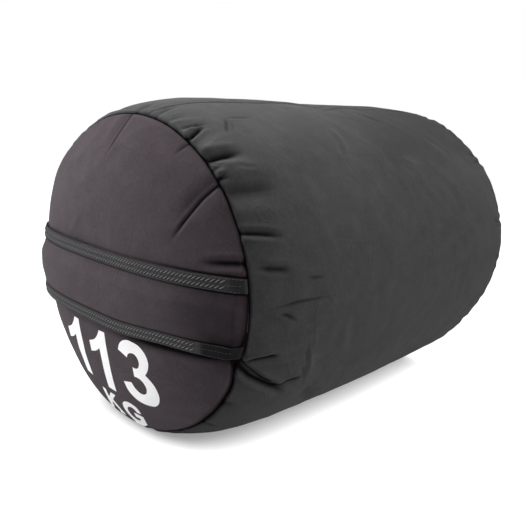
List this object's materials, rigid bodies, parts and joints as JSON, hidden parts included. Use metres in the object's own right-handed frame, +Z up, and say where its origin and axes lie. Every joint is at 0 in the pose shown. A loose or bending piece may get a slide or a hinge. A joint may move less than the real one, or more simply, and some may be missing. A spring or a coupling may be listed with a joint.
{
  "type": "sandbag trainer",
  "caption": "Round sand-filled cloth bag for lifting and carrying, with a zipped filling mouth under a sewn cover band.",
  "frame": {"origin": "middle of the bag's footprint, on the ground that it lies on", "axes": "+Y along the bag from its filling end to its closed end, +Z up, +X to the side that the zip opens from"},
  "size_m": [0.4248, 0.5865, 0.3892],
  "materials": {
    "bag_cloth": "matt woven nylon",
    "end_cloth": "matt woven nylon",
    "webbing": "stitched tape",
    "hook_and_loop": "matt pile",
    "zip_tape": "woven tape",
    "moulded_teeth": "moulded, slightly glossy",
    "zip_metal": "plated die casting",
    "liner_cloth": "coated cloth",
    "dry_sand": "dry grains"
  },
  "bodies": {
    "bag": {"side_panel": "bag_cloth", "side_seam_lap": "bag_cloth", "front_seam_binding": "webbing", "rear_seam_binding": "webbing", "upper_end_panel": "end_cloth", "lower_end_panel": "end_cloth", "zip_end_tab_left": "end_cloth", "zip_end_tab_right": "end_cloth", "base_panel": "bag_cloth", "zip_tape_upper": "zip_tape", "zip_tape_lower": "zip_tape", "zip_teeth_upper": "moulded_teeth", "zip_teeth_lower": "moulded_teeth", "zip_top_stop_upper": "zip_metal", "zip_top_stop_lower": "zip_metal", "zip_bottom_stop": "zip_metal", "cover_band": "end_cloth", "band_upper_hem": "webbing", "band_lower_hem": "webbing", "loop_strip": "hook_and_loop", "hook_strip": "hook_and_loop", "liner_bag": "liner_cloth", "liner_flap": "liner_cloth", "sand_fill": "dry_sand"},
    "zip_slider": {"zip_slider": "zip_metal"},
    "zip_pull": {"zip_pull": "zip_metal"}
  },
  "joints": [
    {"name": "zip_travel", "type": "hinge", "parent": "bag", "child": "zip_slider", "pos_m": [0, 0.26899, 0.1797], "axis": [0, 0, 1], "range_deg": [0, 27.6], "deforming": ["zip_teeth_upper", "zip_teeth_lower"]},
    {"name": "pull_turn", "type": "hinge", "parent": "zip_slider", "child": "zip_pull", "pos_m": [-0.13248, -0.26867, 0.1797], "axis": [0, 0, -1], "range_deg": [0, 6]}
  ]
}
